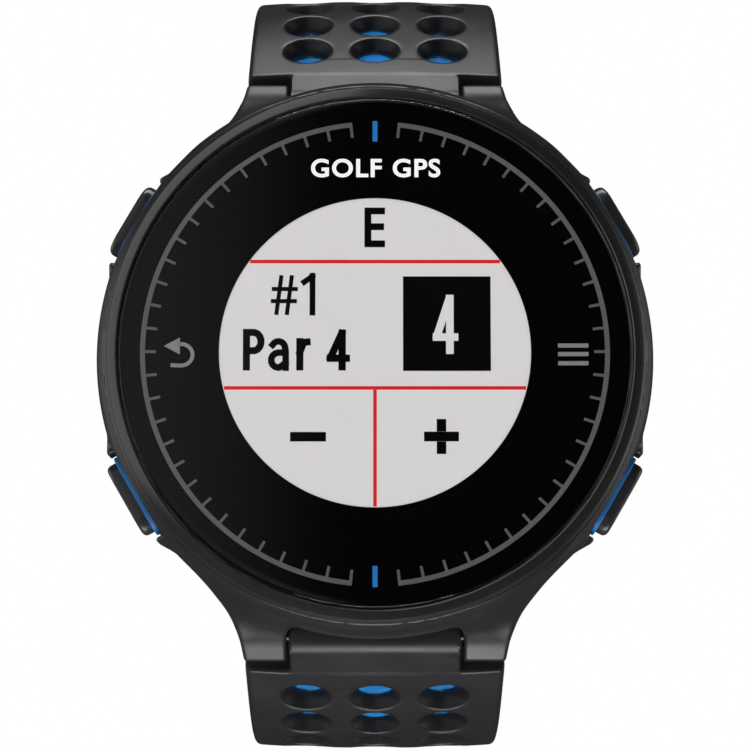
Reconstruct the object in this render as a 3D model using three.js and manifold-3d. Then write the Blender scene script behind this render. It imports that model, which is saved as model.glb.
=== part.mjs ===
// Golf GPS watch, dial towards -Y, 12 o'clock towards +Z, 3 o'clock towards +X.
// The part's origin is the centre of the flat case back. Lengths are in millimetres.
//
// Everything is drawn in the watch's own frame first: x to 3 o'clock, y to 12 o'clock,
// z along the dial normal with the case back at z = 0. The root group then stands it up.
import * as THREE from 'three';
import { mergeVertices } from 'three/addons/utils/BufferGeometryUtils.js';
import Module from 'manifold-3d';

// ---------------------------------------------------------------- driving dimensions
const CASE_R = 22.95;           // outer radius of the case, 45.9 mm across
const CASE_TOP = 11.35;         // where the bezel ring sits down
const RIDGE_R = 21.8;           // bore that the bezel ring drops into
const CASE_H = 14.4;            // case back to glass front
const GLASS_R = 20.8;
const GROOVE_R = 21.02;         // inner wall of the bezel round the glass
const LUG_END = 24.87;          // how far the lugs reach along y
const LUG_SLOT = 7.4;           // half width between a pair of lugs
const PIN_Y = 22.25;            // lug pin centre
const PIN_Z = 2.28;
const PIN_R = 0.85;
const BUTTON_ANGLES = { upper_right: 30, upper_left: 150, lower_left: 210, lower_right: 330 };
const BUTTON_Z = 8.4;
const BUTTON_W = 6.7;           // tangential length of a button cap
const BUTTON_D = 3.4;           // its depth along the case height
const BUTTON_OUT = 23.8;        // radius of its outer face at rest
const COVER_R = 18.4;
const SCREW_CIRCLE = 17.1;
const STRAP_W = 21.8;           // strap width at the lugs
const TONGUE_HALF = 7.2;        // half width of the strap's hinge knuckle
const SHOULDER_S = 2.61;        // where the full width starts, measured along the strap
const HOLE_FIRST = 7.29;        // first row of holes, and the pitch of the rows
const HOLE_PITCH = 4.91;
const HOLE_X = 5.93;            // side columns
const HOLE_R = 1.75;
const UPPER_SWING = 8.25;       // degrees each strap half is swung about its pin
const LOWER_SWING = -6.85;
const UPPER_LEN = 70;           // pin to buckle bar
const LOWER_LEN = 112;          // pin to tail tip
const UPPER_FLEX = 35;          // where each half bends
const LOWER_FLEX = 50;
const FLEX_GAP = 1.2;
const STRAP_S = [-4, 2.6, 7.3, 12.2, 17.1, 22.2, 26, 30, 34, 38, 45, 80, 115];
const UPPER_A = [36.83, 36.83, 35.27, 31.67, 19.17, 6.72, -1.5, -8.5, -14.5, -18, -18, -18, -18];
const LOWER_A = [36.83, 36.83, 35.27, 31.67, 19.17, 6.72, -1.5, -7.5, -11, -12.8, -15, -28, -42];
const BAR_R = 0.75;             // buckle bar
const SEG = 48;                 // facets round the large rings
const SEG_IN = 32;              // and round the pieces inside the case

const wasm = await Module();
wasm.setup();

// ---------------------------------------------------------------- solids
function tidy(geometry) {
  const g = geometry.clone();
  for (const name of Object.keys(g.attributes)) if (name !== 'position') g.deleteAttribute(name);
  g.clearGroups();
  const m = mergeVertices(g, 1e-4);
  const src = m.index.array, pos = m.attributes.position.array, tri = [];
  for (let i = 0; i < src.length; i += 3) {
    const [a, b, c] = [src[i], src[i + 1], src[i + 2]];
    if (a !== b && b !== c && c !== a) tri.push(a, b, c);
  }
  let v = 0;
  for (let i = 0; i < tri.length; i += 3) {
    const [a, b, c] = [tri[i] * 3, tri[i + 1] * 3, tri[i + 2] * 3];
    v += pos[a] * (pos[b + 1] * pos[c + 2] - pos[b + 2] * pos[c + 1])
       - pos[a + 1] * (pos[b] * pos[c + 2] - pos[b + 2] * pos[c])
       + pos[a + 2] * (pos[b] * pos[c + 1] - pos[b + 1] * pos[c]);
  }
  if (v < 0) for (let i = 0; i < tri.length; i += 3) [tri[i + 1], tri[i + 2]] = [tri[i + 2], tri[i + 1]];
  m.setIndex(tri);
  return m;
}
function solid(geometry) {
  const m = tidy(geometry);
  return new wasm.Manifold(new wasm.Mesh({
    numProp: 3,
    vertProperties: new Float32Array(m.attributes.position.array),
    triVerts: new Uint32Array(m.index.array),
  }));
}
function geometryOf(manifold) {
  const mesh = manifold.getMesh(), np = mesh.numProp, n = mesh.vertProperties.length / np;
  const p = new Float32Array(n * 3);
  for (let i = 0; i < n; i++) for (let k = 0; k < 3; k++) p[i * 3 + k] = mesh.vertProperties[i * np + k];
  const g = new THREE.BufferGeometry();
  g.setAttribute('position', new THREE.BufferAttribute(p, 3));
  g.setIndex(Array.from(mesh.triVerts));
  return g;
}
const cut = (a, ...tools) => tools.reduce((s, t) => s.subtract(t), a);
const join = (a, ...more) => more.reduce((s, t) => s.add(t), a);

// a body turned about z from a profile of [radius, height] points
function turned(profile, seg = SEG, closed = true) {
  const pts = profile.map(([r, z]) => new THREE.Vector2(r, z));
  const onAxis = profile[0][0] === 0 && profile[profile.length - 1][0] === 0;
  if (closed && !onAxis) pts.push(pts[0].clone());
  return new THREE.LatheGeometry(pts, seg).rotateX(Math.PI / 2);
}
const ring = (ri, ro, z0, z1, seg = SEG) => turned([[ri, z0], [ro, z0], [ro, z1], [ri, z1]], seg);
const disc = (r, z0, z1, seg = SEG) => turned([[0, z0], [r, z0], [r, z1], [0, z1]], seg);
const box = (x0, x1, y0, y1, z0, z1) =>
  new THREE.BoxGeometry(x1 - x0, y1 - y0, z1 - z0).translate((x0 + x1) / 2, (y0 + y1) / 2, (z0 + z1) / 2);
// a round bar along x
const barX = (r, x0, x1, y = 0, z = 0, seg = 12) =>
  new THREE.CylinderGeometry(r, r, x1 - x0, seg).rotateZ(Math.PI / 2).translate((x0 + x1) / 2, y, z);
// a plate with rounded corners in the xy plane
function roundedPlate(w, h, r, z0, z1, steps = 2) {
  const s = new THREE.Shape(), x = w / 2, y = h / 2;
  s.moveTo(-x + r, -y); s.lineTo(x - r, -y); s.absarc(x - r, -y + r, r, -Math.PI / 2, 0);
  s.lineTo(x, y - r); s.absarc(x - r, y - r, r, 0, Math.PI / 2);
  s.lineTo(-x + r, y); s.absarc(-x + r, y - r, r, Math.PI / 2, Math.PI);
  s.lineTo(-x, -y + r); s.absarc(-x + r, -y + r, r, Math.PI, 1.5 * Math.PI);
  return new THREE.ExtrudeGeometry(s, { depth: z1 - z0, bevelEnabled: false, curveSegments: steps }).translate(0, 0, z0);
}
function prism(points, z0, z1) {
  const s = new THREE.Shape(points.map(([x, y]) => new THREE.Vector2(x, y)));
  return new THREE.ExtrudeGeometry(s, { depth: z1 - z0, bevelEnabled: false }).translate(0, 0, z0);
}
// a prism along x from a profile of [y, z] points
const prismX = (points, x0, x1) =>
  prism(points, x0, x1).applyMatrix4(new THREE.Matrix4().makeBasis(
    new THREE.Vector3(0, 1, 0), new THREE.Vector3(0, 0, 1), new THREE.Vector3(1, 0, 0)));

// ---------------------------------------------------------------- materials and nodes
const FINISH = {
  case_polymer: [0x3d3d3f, 0.5, 0.0], bezel: [0x55565a, 0.32, 0.8], glass: [0x050506, 0.08, 0.0],
  mask: [0x0a0a0b, 0.35, 0.0], display: [0xd1cecf, 0.6, 0.0], board: [0x1d5a34, 0.6, 0.0],
  steel: [0xa9abad, 0.3, 1.0], dark_steel: [0x4a4b4e, 0.35, 0.9], gold: [0xc9a24a, 0.3, 1.0],
  ceramic: [0xcfc7b4, 0.6, 0.0], seal: [0x2a2a2c, 0.8, 0.0], button: [0x414144, 0.45, 0.0],
  blue: [0x23629f, 0.5, 0.0], strap: [0x343437, 0.7, 0.0], cell: [0x8f9499, 0.5, 0.2],
  white: [0xe7e7e3, 0.5, 0.0], amber: [0x6e4a1d, 0.4, 0.0], inner: [0x232325, 0.6, 0.0],
};
function node(parent, name, geometry, finish) {
  const [color, roughness, metalness] = FINISH[finish];
  const mesh = new THREE.Mesh(geometry.getIndex && geometry.attributes ? tidy(geometry) : geometryOf(geometry),
    new THREE.MeshStandardMaterial({ color, roughness, metalness }));
  mesh.name = name;
  parent.add(mesh);
  return mesh;
}
const watch = new THREE.Group();
watch.rotation.x = Math.PI / 2;

// ---------------------------------------------------------------- mid case with its lugs
{
  let body = solid(turned([[18.5, 1.0], [20.1, 1.0], [21.8, 2.2], [CASE_R, 4.8], [CASE_R, 10.2],
    [22.7, 12.2], [21.87, 13.9], [RIDGE_R, 13.9], [RIDGE_R, CASE_TOP], [18.9, CASE_TOP], [18.9, 2.7], [15.4, 2.7], [15.4, 1.8], [18.5, 1.8]]));
  const outline = [[-16.4, 15.5], [-14.5, 17.6], [-13.0, 19.6], [-11.9, 21.2], [-11.3, 22.9], [-10.95, LUG_END],
    [-LUG_SLOT, LUG_END], [-LUG_SLOT, 20.4], [-9.5, 15.5]];
  const side = [[15.0, 1.0], [20.6, 0.5], [22.25, 0.14], [23.0, 0.27], [23.8, 0.78], [24.35, 1.55], [LUG_END, 2.6],
    [23.45, 4.1], [22.2, 6.0], [21.2, 8.4], [20.5, 11.2], [20.2, 12.7], [15.0, 12.7]];
  const hollow = solid(disc(20.6, -1, 20, 24));
  for (const sx of [1, -1]) for (const sy of [1, -1]) {
    const plan = prism(outline.map(([x, y]) => [x * sx, y * sy]), 0, 13);
    const face = prismX(side.map(([y, z]) => [y * sy, z]), -20, 20);
    body = join(body, solid(plan).intersect(solid(face)).subtract(hollow));
  }
  body = cut(body, solid(disc(RIDGE_R, CASE_TOP, 20)));
  for (const sy of [1, -1]) {
    // room for the knuckle of each strap half
    body = cut(body, solid(barX(2.62, -LUG_SLOT, LUG_SLOT, sy * PIN_Y, PIN_Z, 16)),
      solid(box(-LUG_SLOT, LUG_SLOT, sy > 0 ? PIN_Y - 1.2 : -30, sy > 0 ? 30 : -PIN_Y + 1.2, -1, PIN_Z)),
      solid(barX(PIN_R + 0.1, -13, 13, sy * PIN_Y, PIN_Z)),
      solid(barX(1.45, 10.2, 13, sy * PIN_Y, PIN_Z)), solid(barX(1.45, -13, -10.2, sy * PIN_Y, PIN_Z)));
  }
  for (const deg of Object.values(BUTTON_ANGLES)) {
    // the wall is cut flat behind each button, with a small guard at either end, and the pocket is sunk in the flat
    const turn = (g) => solid(g.rotateZ(deg * Math.PI / 180));
    const across = (g) => g.applyMatrix4(new THREE.Matrix4().makeBasis(
      new THREE.Vector3(0, 1, 0), new THREE.Vector3(0, 0, 1), new THREE.Vector3(1, 0, 0)));
    body = cut(body, turn(box(22.45, 27, -5, 5, 5.2, 14)));
    for (const s of [1, -1]) body = join(body, turn(prism([[21.9, 4.2 * s], [23.2, 4.2 * s], [23.25, 4.55 * s], [22.3, 6.0 * s], [21.9, 6.0 * s]], 6.6, 10.2)));
    body = cut(body,
      turn(across(roundedPlate(BUTTON_W + 1.3, BUTTON_D + 1.3, 2.2, 21.2, 25)).translate(0, 0, BUTTON_Z)),
      turn(barX(0.95, 18, 22, 0, BUTTON_Z, 12)), turn(barX(1.35, 20.4, 22, 0, BUTTON_Z, 12)));
  }
  for (const deg of [45, 135, 225, 315]) {
    const a = deg * Math.PI / 180;
    body = cut(body, solid(disc(0.62, 1, 3, 8).translate(SCREW_CIRCLE * Math.cos(a), SCREW_CIRCLE * Math.sin(a), 0)));
  }
  node(watch, 'mid_case', body, 'case_polymer');
}

// ---------------------------------------------------------------- front: bezel, lens and what lies under it
node(watch, 'bezel_ring', turned([[19.5, 11.45], [RIDGE_R - 0.07, 11.45], [RIDGE_R - 0.07, 13.95], [21.1, 14.2], [GROOVE_R, 14.1],
  [GROOVE_R, 13.18], [19.5, 13.18]]), 'bezel');
node(watch, 'lens_gasket', ring(19.7, 20.9, 13.24, 13.48, SEG_IN), 'seal');
node(watch, 'front_lens', turned([[0, 13.54], [GLASS_R, 13.54], [GLASS_R, 14.26], [20.68, CASE_H], [0, CASE_H]]), 'glass');
node(watch, 'lens_mask', ring(12.69, 19.3, 13.2, 13.48, SEG_IN), 'mask');
node(watch, 'touch_sensor', disc(19.3, 12.86, 13.14, SEG_IN), 'amber');
node(watch, 'display_module', join(solid(disc(14.1, 11.7, 12.8, SEG_IN)), solid(box(-5, 5, -16.2, -12, 11.7, 12.1))), 'display');
node(watch, 'backlight_guide', disc(13.9, 11.18, 11.64, SEG_IN), 'white');
{
  const cup = solid(turned([[0, 9.5], [18.7, 9.5], [18.7, 12.78], [14.3, 12.78], [14.3, 11.12], [0, 11.12]], SEG_IN));
  node(watch, 'display_holder', cut(cup, solid(box(-5.4, 5.4, -16.8, -11, 9, 13))), 'inner');
}

// ---------------------------------------------------------------- electronics
{
  const board = solid(disc(18.5, 8.36, 9.16, SEG_IN));
  node(watch, 'main_board', cut(board, solid(box(-5.4, 5.4, -19, -16.2, 8, 10)), solid(box(-3, 3, 17.2, 19, 8, 10)),
    ...[30, 150, 210, 330].map((d) => solid(box(17.4, 19, -1.15, 1.15, 8, 10).rotateZ(d * Math.PI / 180))),
    ...[45, 135, 225, 315].map((d) => solid(disc(1.2, 8, 10, 8).translate(17.4 * Math.cos(d * Math.PI / 180), 17.4 * Math.sin(d * Math.PI / 180), 0)))), 'board');
}
node(watch, 'processor_shield', roundedPlate(10, 8.6, 0.8, 6.9, 8.3).translate(-4.6, 4.4, 0), 'steel');
node(watch, 'gps_antenna', roundedPlate(9, 6, 0.4, 5.3, 8.3).translate(0, 13.6, 0), 'ceramic');
node(watch, 'battery', roundedPlate(22, 17.6, 1.6, 2.0, 6.2), 'cell');
node(watch, 'vibration_motor', disc(3.9, 5.4, 8.2, 20).translate(0, -13.3, 0), 'steel');

// ---------------------------------------------------------------- back: gasket, cover, screws and charging contacts
node(watch, 'back_gasket', ring(15.6, 16.2, 1.46, 1.74, SEG_IN), 'seal');
{
  let cover = solid(turned([[0, 0], [17.95, 0], [COVER_R, 0.45], [COVER_R, 1.4], [0, 1.4]]));
  for (const deg of [45, 135, 225, 315]) {
    const x = SCREW_CIRCLE * Math.cos(deg * Math.PI / 180), y = SCREW_CIRCLE * Math.sin(deg * Math.PI / 180);
    cover = cut(cover, solid(disc(0.62, -1, 3, 8).translate(x, y, 0)), solid(disc(1.02, -1, 0.82, 8).translate(x, y, 0)));
  }
  for (const x of [-3.3, -1.1, 1.1, 3.3]) cover = cut(cover, solid(disc(0.75, -1, 3, 8).translate(x, -10.5, 0)));
  node(watch, 'back_cover', cover, 'case_polymer');
  [45, 135, 225, 315].forEach((deg, i) => {
    const x = SCREW_CIRCLE * Math.cos(deg * Math.PI / 180), y = SCREW_CIRCLE * Math.sin(deg * Math.PI / 180);
    node(watch, `back_screw_${i + 1}`, turned([[0, 0.3], [0.5, 0.3], [0.5, 0.08], [0.9, 0.08], [0.9, 0.74], [0.5, 0.74], [0.5, 2.5], [0, 2.5]], 8)
      .translate(x, y, 0), 'dark_steel');
  });
  [-3.3, -1.1, 1.1, 3.3].forEach((x, i) =>
    node(watch, `charge_contact_${i + 1}`, disc(0.65, 0.05, 1.85, 8).translate(x, -10.5, 0), 'gold'));
}

// ---------------------------------------------------------------- buttons, each drawn pointing along its own x
for (const [place, deg] of Object.entries(BUTTON_ANGLES)) {
  const g = new THREE.Group();
  g.rotation.z = deg * Math.PI / 180;
  g.position.z = 0;
  watch.add(g);
  const across = (geo) => geo.applyMatrix4(new THREE.Matrix4().makeBasis(
    new THREE.Vector3(0, 1, 0), new THREE.Vector3(0, 0, 1), new THREE.Vector3(1, 0, 0))).translate(0, 0, BUTTON_Z);
  const pad = solid(across(roundedPlate(BUTTON_W, BUTTON_D, 1.6, 22.1, BUTTON_OUT - 0.25)));
  const face = solid(across(roundedPlate(BUTTON_W - 0.5, BUTTON_D - 0.5, 1.4, 22.5, BUTTON_OUT)));
  node(g, `button_cap_${place}`, join(pad, face, solid(barX(0.8, 18.35, 22.3, 0, BUTTON_Z, 12))), 'button');
  const frame = solid(across(roundedPlate(BUTTON_W + 1.1, BUTTON_D + 1.1, 2.1, 21.32, 23.05)));
  node(g, `button_trim_${place}`, cut(frame, solid(across(roundedPlate(BUTTON_W + 0.24, BUTTON_D + 0.24, 1.7, 21.6, 24))),
    solid(barX(1.25, 20, 23, 0, BUTTON_Z, 12))), 'blue');
  node(g, `button_seal_${place}`, turned([[0.87, 0], [1.27, 0], [1.27, 0.7], [0.87, 0.7]], 12)
    .rotateY(Math.PI / 2).translate(20.5, 0, BUTTON_Z), 'seal');
  node(g, `button_switch_${place}`, box(16.1, 17.75, -1.6, 1.6, 6.3, 8.26), 'inner');
}

// ---------------------------------------------------------------- strap halves
// A strap half is drawn in a frame at its lug pin: y away from the case, z as on the watch.
// s runs along its middle line from the pin, n is the offset towards its outer face.
const lerp = (x, xs, ys) => {
  if (x <= xs[0]) return ys[0];
  for (let i = 1; i < xs.length; i++) if (x <= xs[i]) return ys[i - 1] + (ys[i] - ys[i - 1]) * (x - xs[i - 1]) / (xs[i] - xs[i - 1]);
  return ys[ys.length - 1];
};
const outerOf = (s) => lerp(s, [0, 2.6, 7, 17, 30, 45, 120], [2.2, 2.2, 2.1, 1.8, 1.5, 1.3, 1.2]);
const innerOf = (s) => lerp(s, [0, 2.6, 7, 17, 30, 45, 120], [-1.9, -1.9, -1.8, -1.5, -1.35, -1.25, -1.1]);
const linerOf = (s) => innerOf(s) + 0.75;
function middleLine(angles) {
  const ds = 0.1, start = -4, n = 1240, ys = [0], zs = [0], as = [];
  for (let i = 0; i <= n; i++) as.push(lerp(start + i * ds, STRAP_S, angles) * Math.PI / 180);
  for (let i = 1; i <= n; i++) {
    ys.push(ys[i - 1] + (Math.sin(as[i]) + Math.sin(as[i - 1])) / 2 * ds);
    zs.push(zs[i - 1] - (Math.cos(as[i]) + Math.cos(as[i - 1])) / 2 * ds);
  }
  const k0 = Math.round(-start / ds);
  return (s) => {
    const f = Math.min(Math.max((s - start) / ds, 0), n - 1e-6), i = Math.floor(f), t = f - i;
    return { a: as[i] + (as[i + 1] - as[i]) * t, y: ys[i] + (ys[i + 1] - ys[i]) * t - ys[k0], z: zs[i] + (zs[i + 1] - zs[i]) * t - zs[k0] };
  };
}
const at = (line, x, s, n) => {
  const p = line(s);
  return new THREE.Vector3(x, p.y + n * Math.cos(p.a), p.z + n * Math.sin(p.a));
};
const halfWidth = (s, tail) => {
  const w = lerp(s, [2.6, 22, 50, 90, 120], [STRAP_W / 2, 10.55, 10.0, 9.5, 9.3]);
  const left = LOWER_LEN - s;
  return tail && left < 9 ? Math.max(3.2, w * Math.sqrt(Math.max(0, 1 - ((9 - left) / 9.6) ** 2))) : w;
};
// a bent slab between two offsets, with its long edges eased on the outer side
function slab(line, s0, s1, steps, lo, hi, ease, tail = false) {
  const cols = ease > 0 ? [-1, -0.86, 0.86, 1] : [-1, 1];
  const g = new THREE.BoxGeometry(cols.length - 1, 1, 1, cols.length - 1, 1, steps);
  const p = g.attributes.position;
  for (let i = 0; i < p.count; i++) {
    const u = cols[Math.round(p.getX(i) + (cols.length - 1) / 2)], s = s0 + (p.getZ(i) + 0.5) * (s1 - s0), top = p.getY(i) > 0;
    const n = top ? hi(s) - (Math.abs(u) > 0.9 ? ease : 0) : lo(s);
    const v = at(line, u * halfWidth(s, tail), s, n);
    p.setXYZ(i, v.x, v.y, v.z);
  }
  return g;
}
function holeTool(line, x, s, r, n0 = -4, n1 = 5, seg = 6) {
  const g = new THREE.CylinderGeometry(r, r, n1 - n0, seg).translate(0, (n0 + n1) / 2, 0);
  const p = line(s);
  return solid(g.rotateX(p.a).translate(x, p.y, p.z));
}
const knuckle = (line, r) => {
  // round end about the pin, running out to the shoulder
  const pts = [], p = line(0);
  for (let i = 0; i <= 8; i++) {
    const t = p.a + Math.PI * i / 8;
    pts.push([r * Math.cos(t), r * Math.sin(t)]);
  }
  const q = line(SHOULDER_S + 0.6), c = Math.cos(q.a), s = Math.sin(q.a);
  pts.push([q.y - 1.9 * c, q.z - 1.9 * s], [q.y + r * c, q.z + r * s]);
  return prismX(pts, -TONGUE_HALF, TONGUE_HALF);
};
function strapRoot(line, s1, steps, rows) {
  const liner = solid(slab(line, SHOULDER_S + 0.75, s1, steps, innerOf, (s) => linerOf(s) - 0.05, 0));
  // the knuckle leaves the liner's own space free
  const round = cut(solid(knuckle(line, 2.15)),
    solid(slab(line, SHOULDER_S + 0.65, s1 + 1, steps, (s) => innerOf(s) - 3, (s) => linerOf(s) + 0.1, 0)));
  let black = cut(join(solid(slab(line, SHOULDER_S, s1, steps, (s) => linerOf(s) + 0.05, outerOf, 0.5)), round),
    solid(barX(PIN_R + 0.1, -12, 12)));
  let blue = liner;
  for (let r = 0; r < rows; r++) for (const x of [-HOLE_X, 0, HOLE_X]) {
    const s = HOLE_FIRST + r * HOLE_PITCH;
    black = cut(black, holeTool(line, x, s, HOLE_R));
    blue = cut(blue, holeTool(line, x, s, HOLE_R - 0.1));
  }
  return { black, blue };
}
const upperLine = middleLine(UPPER_A), lowerLine = middleLine(LOWER_A);
const upper = new THREE.Group(), lowerMirror = new THREE.Group(), lower = new THREE.Group();
upper.position.set(0, PIN_Y, PIN_Z);
upper.rotation.x = UPPER_SWING * Math.PI / 180;
lowerMirror.rotation.z = Math.PI;
lower.position.set(0, PIN_Y, PIN_Z);
lower.rotation.x = LOWER_SWING * Math.PI / 180;
watch.add(upper, lowerMirror);
lowerMirror.add(lower);
{
  const { black, blue } = strapRoot(upperLine, UPPER_FLEX - FLEX_GAP / 2, 10, 3);
  node(upper, 'upper_strap_root', black, 'strap');
  node(upper, 'upper_liner_root', blue, 'blue');
  const s0 = UPPER_FLEX + FLEX_GAP / 2, s1 = UPPER_LEN + 1.75;
  const barAt = upperLine(UPPER_LEN);
  const clear = solid(box(-1.75, 1.75, -4, 4, -4, 4.4).rotateX(barAt.a).translate(0, barAt.y, barAt.z));
  const bore = solid(barX(BAR_R + 0.15, -12, 12, barAt.y, barAt.z));
  node(upper, 'upper_strap_end', cut(solid(slab(upperLine, s0, s1, 6, (s) => s > UPPER_LEN - 6 ? -1.45 : linerOf(s) + 0.05, (s) => s > UPPER_LEN - 6 ? 1.45 : outerOf(s), 0.4)), clear, bore), 'strap');
  node(upper, 'upper_liner_end', solid(slab(upperLine, s0, UPPER_LEN - 12.5, 4, innerOf, (s) => linerOf(s) - 0.05, 0)), 'blue');
}
{
  const { black, blue } = strapRoot(lowerLine, LOWER_FLEX - FLEX_GAP / 2, 12, 3);
  node(lower, 'lower_strap_root', black, 'strap');
  node(lower, 'lower_liner_root', blue, 'blue');
  const s0 = LOWER_FLEX + FLEX_GAP / 2;
  let tail = solid(slab(lowerLine, s0, LOWER_LEN, 16, (s) => linerOf(s) + 0.05, outerOf, 0.4, true));
  let liner = solid(slab(lowerLine, s0, LOWER_LEN - 1.2, 16, innerOf, (s) => linerOf(s) - 0.05, 0, true));
  for (let r = 10; r < 20; r++) {
    const s = HOLE_FIRST + r * HOLE_PITCH;
    tail = cut(tail, holeTool(lowerLine, 0, s, HOLE_R - 0.2, -4, 5, 6));
    liner = cut(liner, holeTool(lowerLine, 0, s, HOLE_R - 0.2, -4, 5, 6));
  }
  node(lower, 'lower_strap_tail', tail, 'strap');
  node(lower, 'lower_liner_tail', liner, 'blue');
}

// ---------------------------------------------------------------- lug pins with a screw in one end
for (const [name, sy] of [['upper', 1], ['lower', -1]]) {
  const y = sy * PIN_Y;
  const pin = join(solid(barX(PIN_R, -10.9, 10.1, y, PIN_Z)), solid(barX(1.35, -10.9, -10.3, y, PIN_Z)));
  node(watch, `${name}_lug_pin`, cut(pin, solid(barX(0.55, 7.4, 12, y, PIN_Z, 12))), 'dark_steel');
  const screw = join(solid(barX(1.35, 10.3, 10.9, y, PIN_Z)), solid(barX(0.45, 7.8, 10.6, y, PIN_Z, 12)));
  node(watch, `${name}_pin_screw`, cut(screw, solid(box(10.62, 11.2, y - 0.2, y + 0.2, PIN_Z - 1.1, PIN_Z + 1.1))), 'dark_steel');
}

// ---------------------------------------------------------------- buckle, drawn about its bar: y outward, -z towards the tip
{
  const p = upperLine(UPPER_LEN), buckle = new THREE.Group();
  buckle.position.set(0, p.y, p.z);
  buckle.rotation.x = p.a;
  upper.add(buckle);
  // a U of metal: two arms with round ears on the bar, and a cross bar at the tip
  const IN = 10.35, OUT = 12.1;
  const arm = (sx) => join(
    solid(box(sx > 0 ? IN : -OUT, sx > 0 ? OUT : -IN, -1.1, 1.1, -12.6, 0)),
    solid(barX(1.9, sx > 0 ? IN : -OUT, sx > 0 ? OUT : -IN, 0, 0, 20)));
  const tip = solid(prismX([[-1.1, -10.3], [-1.1, -12.6], [-0.5, -13.2], [0.4, -13.2], [1.1, -12.6], [1.1, -10.9], [0.5, -10.3]], -OUT, OUT));
  let frame = join(arm(1), arm(-1), tip);
  frame = cut(frame, solid(barX(BAR_R + 0.08, -OUT + 0.4, OUT - 0.4)), solid(box(-1.4, 1.4, 0.75, 3, -15, -9)));
  node(buckle, 'buckle_frame', frame, 'dark_steel');
  node(buckle, 'buckle_bar', barX(BAR_R, -OUT + 0.5, OUT - 0.5), 'steel');
  const tongue = join(solid(barX(1.55, -1.4, 1.4)), solid(prismX([[0.1, 0], [1.5, 0.2], [1.6, -5.0], [2.0, -11.6], [1.7, -13.3], [0.95, -13.3], [0.85, -9.8], [0.5, -5.0]], -1.15, 1.15)));
  node(buckle, 'buckle_tongue', cut(tongue, solid(barX(BAR_R + 0.1, -3, 3))), 'dark_steel');
}

// ---------------------------------------------------------------- keepers: closed loops round the strap with room for the tail
function keeper(wide, floor) {
  const outer = solid(roundedPlate(2 * 11.75, 8.3, 1.5, -wide / 2, wide / 2).translate(0, 1.25, 0));
  const lo = floor, hi = 4.15, w = 2 * 10.5;
  return cut(outer, solid(roundedPlate(w, hi - lo, 0.7, -5, 5).translate(0, (hi + lo) / 2, 0)));
}
for (const [name, s, wide, floor] of [['keeper_fixed', 62.0, 4.6, -1.62], ['keeper_free', 50.0, 5.2, -1.7]]) {
  const p = upperLine(s), g = new THREE.Group();
  g.position.set(0, p.y, p.z);
  g.rotation.x = p.a;
  upper.add(g);
  node(g, name, keeper(wide, floor), 'strap');
}

export default watch;
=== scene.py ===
import bpy, bmesh, math
import numpy as np
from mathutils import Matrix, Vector


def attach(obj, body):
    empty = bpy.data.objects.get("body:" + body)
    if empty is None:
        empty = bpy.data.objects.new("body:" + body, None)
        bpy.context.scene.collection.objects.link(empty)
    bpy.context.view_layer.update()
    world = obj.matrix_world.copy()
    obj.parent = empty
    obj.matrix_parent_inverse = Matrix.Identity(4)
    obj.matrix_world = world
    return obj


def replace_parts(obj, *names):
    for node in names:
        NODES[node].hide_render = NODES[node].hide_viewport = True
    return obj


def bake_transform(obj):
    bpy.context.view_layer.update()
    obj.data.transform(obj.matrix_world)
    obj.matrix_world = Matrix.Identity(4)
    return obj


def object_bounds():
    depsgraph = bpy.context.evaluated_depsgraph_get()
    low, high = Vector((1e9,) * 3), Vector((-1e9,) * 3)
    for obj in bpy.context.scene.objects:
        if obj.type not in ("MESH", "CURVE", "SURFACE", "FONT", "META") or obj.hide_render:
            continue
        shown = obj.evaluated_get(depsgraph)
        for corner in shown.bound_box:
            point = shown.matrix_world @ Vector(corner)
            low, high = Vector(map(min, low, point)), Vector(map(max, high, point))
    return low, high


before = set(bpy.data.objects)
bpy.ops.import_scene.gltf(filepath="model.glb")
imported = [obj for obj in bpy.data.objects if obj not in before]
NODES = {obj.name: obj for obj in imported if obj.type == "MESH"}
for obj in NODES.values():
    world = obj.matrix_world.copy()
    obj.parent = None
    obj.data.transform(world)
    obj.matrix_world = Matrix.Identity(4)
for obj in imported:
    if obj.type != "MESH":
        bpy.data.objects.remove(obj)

# Golf GPS watch. Everything is drawn in the watch's own millimetres first: x to 3 o'clock, y to
# 12 o'clock, z along the dial normal with the case back at z = 0. row() stands it up.
cad_lo, cad_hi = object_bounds()


def row(p):
    p = np.asarray(p, float)
    return np.stack([p[:, 0], -p[:, 2], p[:, 1]], 1) / 1000


# ------------------------------------------------------------------ distance fields
def smin(a, b, k):
    h = np.clip(0.5 + 0.5 * (b - a) / k, 0, 1)
    return b + (a - b) * h - k * h * (1 - h)


def smax(a, b, k):
    return -smin(-a, -b, k)


def rrect(x, y, hx, hy, r):
    qx, qy = np.abs(x) - (hx - r), np.abs(y) - (hy - r)
    return np.hypot(np.maximum(qx, 0), np.maximum(qy, 0)) + np.minimum(np.maximum(qx, qy), 0) - r


def polygon(px, py, pts):
    pts = np.asarray(pts, float)
    d, inside = np.full(np.shape(px), 1e9), np.zeros(np.shape(px), bool)
    for a, b in zip(pts, np.roll(pts, -1, 0)):
        ex, ey = b - a
        if abs(ex) + abs(ey) < 1e-9:
            continue
        wx, wy = px - a[0], py - a[1]
        t = np.clip((wx * ex + wy * ey) / (ex * ex + ey * ey), 0, 1)
        d = np.minimum(d, (wx - ex * t) ** 2 + (wy - ey * t) ** 2)
        if abs(ey) > 1e-12:
            inside ^= ((a[1] > py) != (b[1] > py)) & (px < ex * (py - a[1]) / ey + a[0])
    d = np.sqrt(d)
    return np.where(inside, -d, d)


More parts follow.
